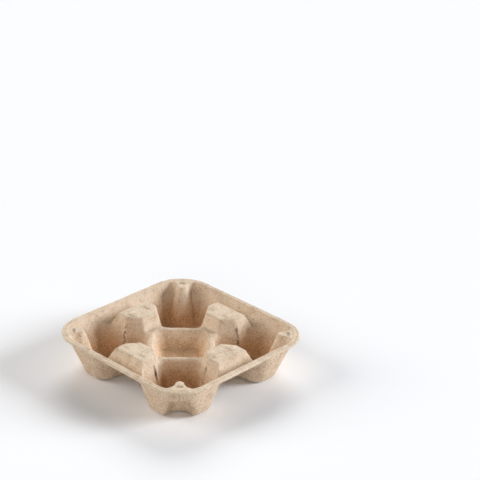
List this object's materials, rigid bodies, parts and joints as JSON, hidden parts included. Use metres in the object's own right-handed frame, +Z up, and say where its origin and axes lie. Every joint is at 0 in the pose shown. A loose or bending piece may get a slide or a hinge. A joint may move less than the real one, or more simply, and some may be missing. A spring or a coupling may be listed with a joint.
{
  "type": "moulded pulp cup carrier",
  "caption": "Square moulded pulp tray with a tapered cup pocket in each corner, hollow towers between the pockets, a middle well and a rolled rim.",
  "frame": {"origin": "middle of the tray on the plane its feet stand on", "axes": "+Z up; +X and +Y square to the sides of the rim, with the pockets on the diagonals and the towers on the axes"},
  "size_m": [0.215, 0.215, 0.05],
  "materials": {
    "pulp": "matt, fine fibrous speckle"
  },
  "bodies": {
    "root": {"cup_carrier_tray": "pulp"}
  },
  "joints": []
}
